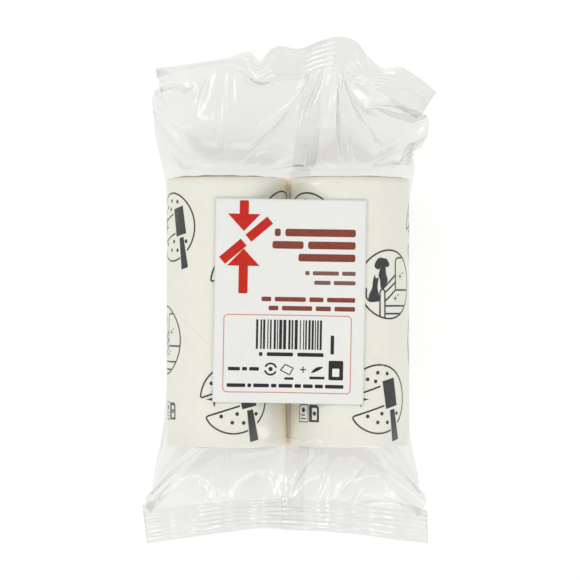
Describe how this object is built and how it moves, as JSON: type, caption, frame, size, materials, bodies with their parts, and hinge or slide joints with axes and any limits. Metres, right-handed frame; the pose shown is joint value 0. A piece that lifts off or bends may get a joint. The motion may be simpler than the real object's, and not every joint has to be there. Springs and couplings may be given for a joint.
{
  "type": "lint roller refill pack",
  "caption": "Sealed clear film bag with ridged end seals and a paper label, holding lint roller refill rolls side by side on cardboard cores.",
  "frame": {"origin": "on the plane that the pack rests on, under the middle of the pack", "axes": "+Z out of the labelled front, +Y along the rolls from the tight foot to the loose head of the bag, +X to the right of the label"},
  "size_m": [0.1098, 0.1918, 0.0467],
  "materials": {
    "film": "clear, gloss",
    "film_seal": "clear, ridged and slightly milky",
    "label_paper": "smooth coated paper, printed",
    "wrap_paper": "uncoated cream paper, printed",
    "sheet_paper": "paper with clear adhesive",
    "core_card": "matte, fibrous"
  },
  "bodies": {
    "bag": {"film_front_wall": "film", "film_back_wall": "film", "film_head": "film", "film_foot": "film", "back_fin_seal": "film_seal", "front_label": "label_paper"},
    "top_seal": {"top_crimp_seal": "film_seal"},
    "bottom_seal": {"bottom_crimp_seal": "film_seal"},
    "left_roll": {"left_core_inner_ply": "core_card", "left_core_outer_ply": "core_card", "left_inner_sheets": "sheet_paper", "left_mid_inner_sheets": "sheet_paper", "left_mid_outer_sheets": "sheet_paper", "left_outer_sheets": "sheet_paper", "left_printed_wrap": "wrap_paper"},
    "right_roll": {"right_core_inner_ply": "core_card", "right_core_outer_ply": "core_card", "right_inner_sheets": "sheet_paper", "right_mid_inner_sheets": "sheet_paper", "right_mid_outer_sheets": "sheet_paper", "right_outer_sheets": "sheet_paper", "right_printed_wrap": "wrap_paper"}
  },
  "joints": [
    {"name": "left_roll_slide", "type": "slide", "parent": "bag", "child": "left_roll", "axis": [0, 1, 0], "range_m": [0, 0.004]},
    {"name": "right_roll_slide", "type": "slide", "parent": "bag", "child": "right_roll", "axis": [0, 1, 0], "range_m": [0, 0.004]},
    {"name": "top_seal_fold", "type": "hinge", "parent": "bag", "child": "top_seal", "pos_m": [0, 0.08265, 0.0233], "axis": [1, 0, 0], "range_deg": [-80, 80], "stiffness_Nm_per_rad": 0.003},
    {"name": "bottom_seal_fold", "type": "hinge", "parent": "bag", "child": "bottom_seal", "pos_m": [0, -0.08265, 0.0233], "axis": [-1, 0, 0], "range_deg": [-80, 80], "stiffness_Nm_per_rad": 0.003}
  ]
}
